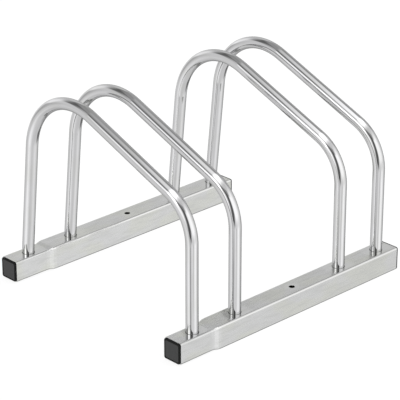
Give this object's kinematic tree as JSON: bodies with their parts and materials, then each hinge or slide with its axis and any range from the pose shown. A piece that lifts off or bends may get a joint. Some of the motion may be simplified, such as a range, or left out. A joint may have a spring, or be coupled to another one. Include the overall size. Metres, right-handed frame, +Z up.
{
  "type": "floor bike rack",
  "caption": "Low floor rack for bicycles: bent round-tube hoops in pairs stand in two square-tube rails with capped ends and anchor holes; one rail end is reduced to couple a further rack.",
  "frame": {"origin": "middle of the part's box at floor level", "axes": "+X along the rails towards their full-size ends, +Y from the front rail (low knee of the hoops) to the rear rail, +Z up"},
  "size_m": [0.369, 0.323, 0.256],
  "materials": {
    "rail_steel": "bright zinc plating over drawn square tube, satin",
    "hoop_steel": "bright zinc plating over drawn round tube, semi-gloss",
    "cap_plastic": "moulded, fine matt grain",
    "insert_steel": "turned, zinc-plated",
    "screw_steel": "zinc-plated"
  },
  "bodies": {
    "root": {"rail_front": "rail_steel", "rail_rear": "rail_steel", "hoop_1": "hoop_steel", "hoop_2": "hoop_steel", "hoop_3": "hoop_steel", "hoop_4": "hoop_steel", "cap_front_left": "cap_plastic", "cap_front_right": "cap_plastic", "cap_rear_left": "cap_plastic", "cap_rear_right": "cap_plastic", "insert_1_front": "insert_steel", "insert_1_rear": "insert_steel", "insert_2_front": "insert_steel", "insert_2_rear": "insert_steel", "insert_3_front": "insert_steel", "insert_3_rear": "insert_steel", "insert_4_front": "insert_steel", "insert_4_rear": "insert_steel", "foot_screws_front": "screw_steel", "foot_screws_rear": "screw_steel"}
  },
  "joints": []
}
